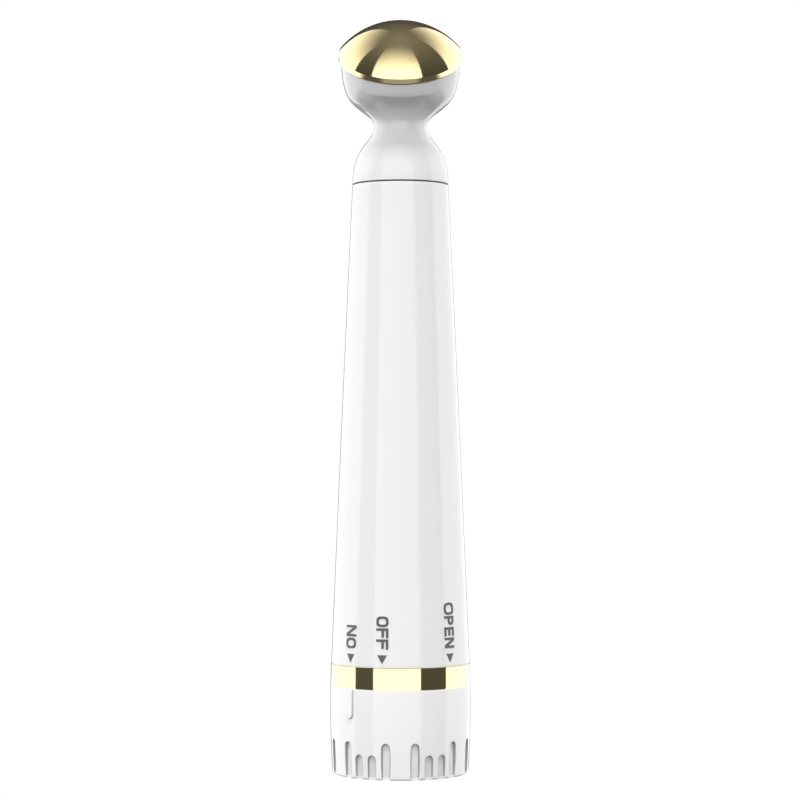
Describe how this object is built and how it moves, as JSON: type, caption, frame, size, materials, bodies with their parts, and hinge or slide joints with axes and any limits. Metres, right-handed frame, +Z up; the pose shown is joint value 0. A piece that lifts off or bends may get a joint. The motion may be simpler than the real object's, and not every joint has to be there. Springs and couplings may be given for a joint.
{
  "type": "heated eye massager wand",
  "caption": "Slim white wand with a tilted gold massage dome, tapered handle and a turning, pull-off battery cap with a gold ring and grip grooves.",
  "frame": {"origin": "middle of the flat base of the battery cap, on the axis of the handle", "axes": "+Z up along the handle towards the head, -Y the front, where the dome leans"},
  "size_m": [0.0252, 0.0253, 0.1353],
  "materials": {
    "white_shell": "glossy injection moulding",
    "gold_plate": "mirror-polished gold plating",
    "dark_seal": "soft satin elastomer",
    "frame_plastic": "fine spark-eroded texture",
    "collar_plastic": "self-lubricating, satin",
    "spring_steel": "nickel-plated wire",
    "contact_metal": "nickel-plated strip",
    "wiper_metal": "springy phosphor bronze",
    "cell_sleeve": "shrink sleeve over a metal can",
    "board_laminate": "solder mask over glass laminate",
    "chip_black": "moulded package",
    "ferrite": "ground ferrite",
    "capacitor_tan": "fired ceramic with tinned ends",
    "screw_steel": "bright zinc plate",
    "motor_can": "drawn steel can",
    "motor_plastic": "moulded end cap",
    "motor_rubber": "soft silicone sleeve",
    "weight_metal": "sintered tungsten alloy",
    "lead_red": "extruded insulation",
    "lead_black": "extruded insulation",
    "heater_amber": "polyimide film over etched foil",
    "sensor_brown": "epoxy bead",
    "foam_cream": "open-cell foam"
  },
  "bodies": {
    "handle": {"collar_clip": "spring_steel", "main_body": "white_shell", "inner_frame": "frame_plastic", "negative_strip": "contact_metal", "positive_contact": "contact_metal", "circuit_board": "board_laminate", "control_chip": "chip_black", "boost_inductor": "ferrite", "board_capacitors": "capacitor_tan", "board_screws": "screw_steel", "motor_sleeve": "motor_rubber", "motor_case": "motor_can", "motor_end_cap": "motor_plastic", "motor_leads": "lead_red", "seam_gasket": "dark_seal", "neck_housing": "white_shell", "heater_leads": "lead_red", "sensor_leads": "lead_black", "head_seal": "dark_seal", "massage_head": "gold_plate", "heater_film": "heater_amber", "temperature_sensor": "sensor_brown", "foam_pad": "foam_cream", "head_lock_ring": "frame_plastic"},
    "collar": {"switch_collar": "collar_plastic", "collar_wiper": "wiper_metal"},
    "battery_cap": {"cap_shell": "white_shell", "gold_ring": "gold_plate", "cap_insert": "frame_plastic", "cap_seal": "dark_seal", "cap_contact": "contact_metal", "battery_spring": "spring_steel", "battery_cell": "cell_sleeve"},
    "motor_rotor": {"motor_shaft": "screw_steel", "eccentric_weight": "weight_metal"}
  },
  "joints": [
    {"name": "cap_twist", "type": "hinge", "parent": "handle", "child": "collar", "pos_m": [0, 0, 0.03], "axis": [0, 0, 1], "range_deg": [0, 90]},
    {"name": "cap_pull", "type": "slide", "parent": "collar", "child": "battery_cap", "axis": [0, 0, -1], "range_m": [0, 0.06]},
    {"name": "motor_spin", "type": "hinge", "parent": "handle", "child": "motor_rotor", "pos_m": [0, 0, 0.105], "axis": [0, 0, 1], "continuous": true}
  ]
}
